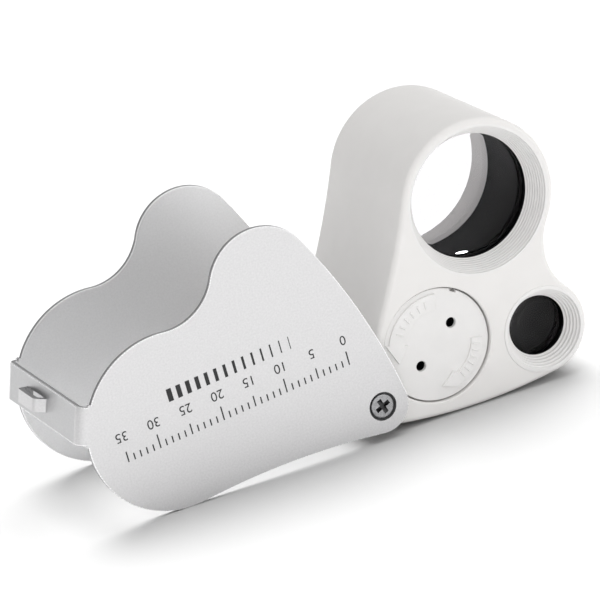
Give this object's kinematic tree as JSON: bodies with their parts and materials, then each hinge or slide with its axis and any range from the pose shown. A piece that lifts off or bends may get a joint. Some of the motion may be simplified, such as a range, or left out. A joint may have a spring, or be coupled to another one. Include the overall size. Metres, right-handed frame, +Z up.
{
  "type": "folding loupe",
  "caption": "Folding pocket loupe: a moulded lens body with a large and a small eyepiece and LED lamps swings out of a bent aluminium cover.",
  "frame": {"origin": "middle of the footprint, on the surface that the opened loupe stands on", "axes": "+Z up, +X along the opened loupe from the cover towards the lens body, lens and pivot axes along Y with the eyepieces facing -Y"},
  "size_m": [0.081, 0.0272, 0.0416],
  "materials": {
    "cover_aluminium": "frosted silver",
    "steel": "plated",
    "nylon": "natural",
    "brass": "turned",
    "body_white": "satin moulded",
    "ring_white": "satin moulded",
    "tube_black": "semi-gloss black",
    "lens_glass": "polished",
    "spring_metal": "nickel-tin strip",
    "lamp": "clear epoxy",
    "board": "green laminate",
    "wire": "insulated",
    "cell_steel": "nickel plated"
  },
  "bodies": {
    "lens_body": {"body_shell": "body_white", "back_lid": "body_white", "lid_screws": "steel", "big_front_ring": "ring_white", "big_tube": "tube_black", "big_lens_front": "lens_glass", "big_lens_spacer": "tube_black", "big_lens_back": "lens_glass", "big_retaining_ring": "tube_black", "small_front_ring": "ring_white", "small_tube": "tube_black", "small_lens_front": "lens_glass", "small_lens_spacer": "tube_black", "small_lens_back": "lens_glass", "small_retaining_ring": "tube_black", "negative_spring": "spring_metal", "positive_strip": "spring_metal", "big_lamp": "lamp", "small_lamp": "lamp", "lamp_board": "board", "series_resistor": "board", "switch_leaf": "spring_metal", "switch_contact": "spring_metal", "positive_wire": "wire", "negative_wire": "wire", "button_cell_1": "cell_steel", "button_cell_2": "cell_steel", "button_cell_3": "cell_steel"},
    "cover_case": {"cover_sheet": "cover_aluminium", "front_bush": "steel", "back_bush": "steel", "front_pivot_screw": "steel", "back_pivot_screw": "steel", "front_washer": "nylon", "back_washer": "nylon", "pivot_shaft": "brass"},
    "battery_cap": {"battery_cover": "body_white", "cover_contact": "spring_metal"}
  },
  "joints": [
    {"name": "cover_swing", "type": "hinge", "parent": "lens_body", "child": "cover_case", "pos_m": [0.00632, 0, 0.00517], "axis": [0, 1, 0], "range_deg": [-64.2, 115.82]},
    {"name": "battery_cover_turn", "type": "hinge", "parent": "lens_body", "child": "battery_cap", "pos_m": [0.01682, -0.0122, 0.01077], "axis": [0, -1, 0], "range_deg": [0, 45]}
  ]
}
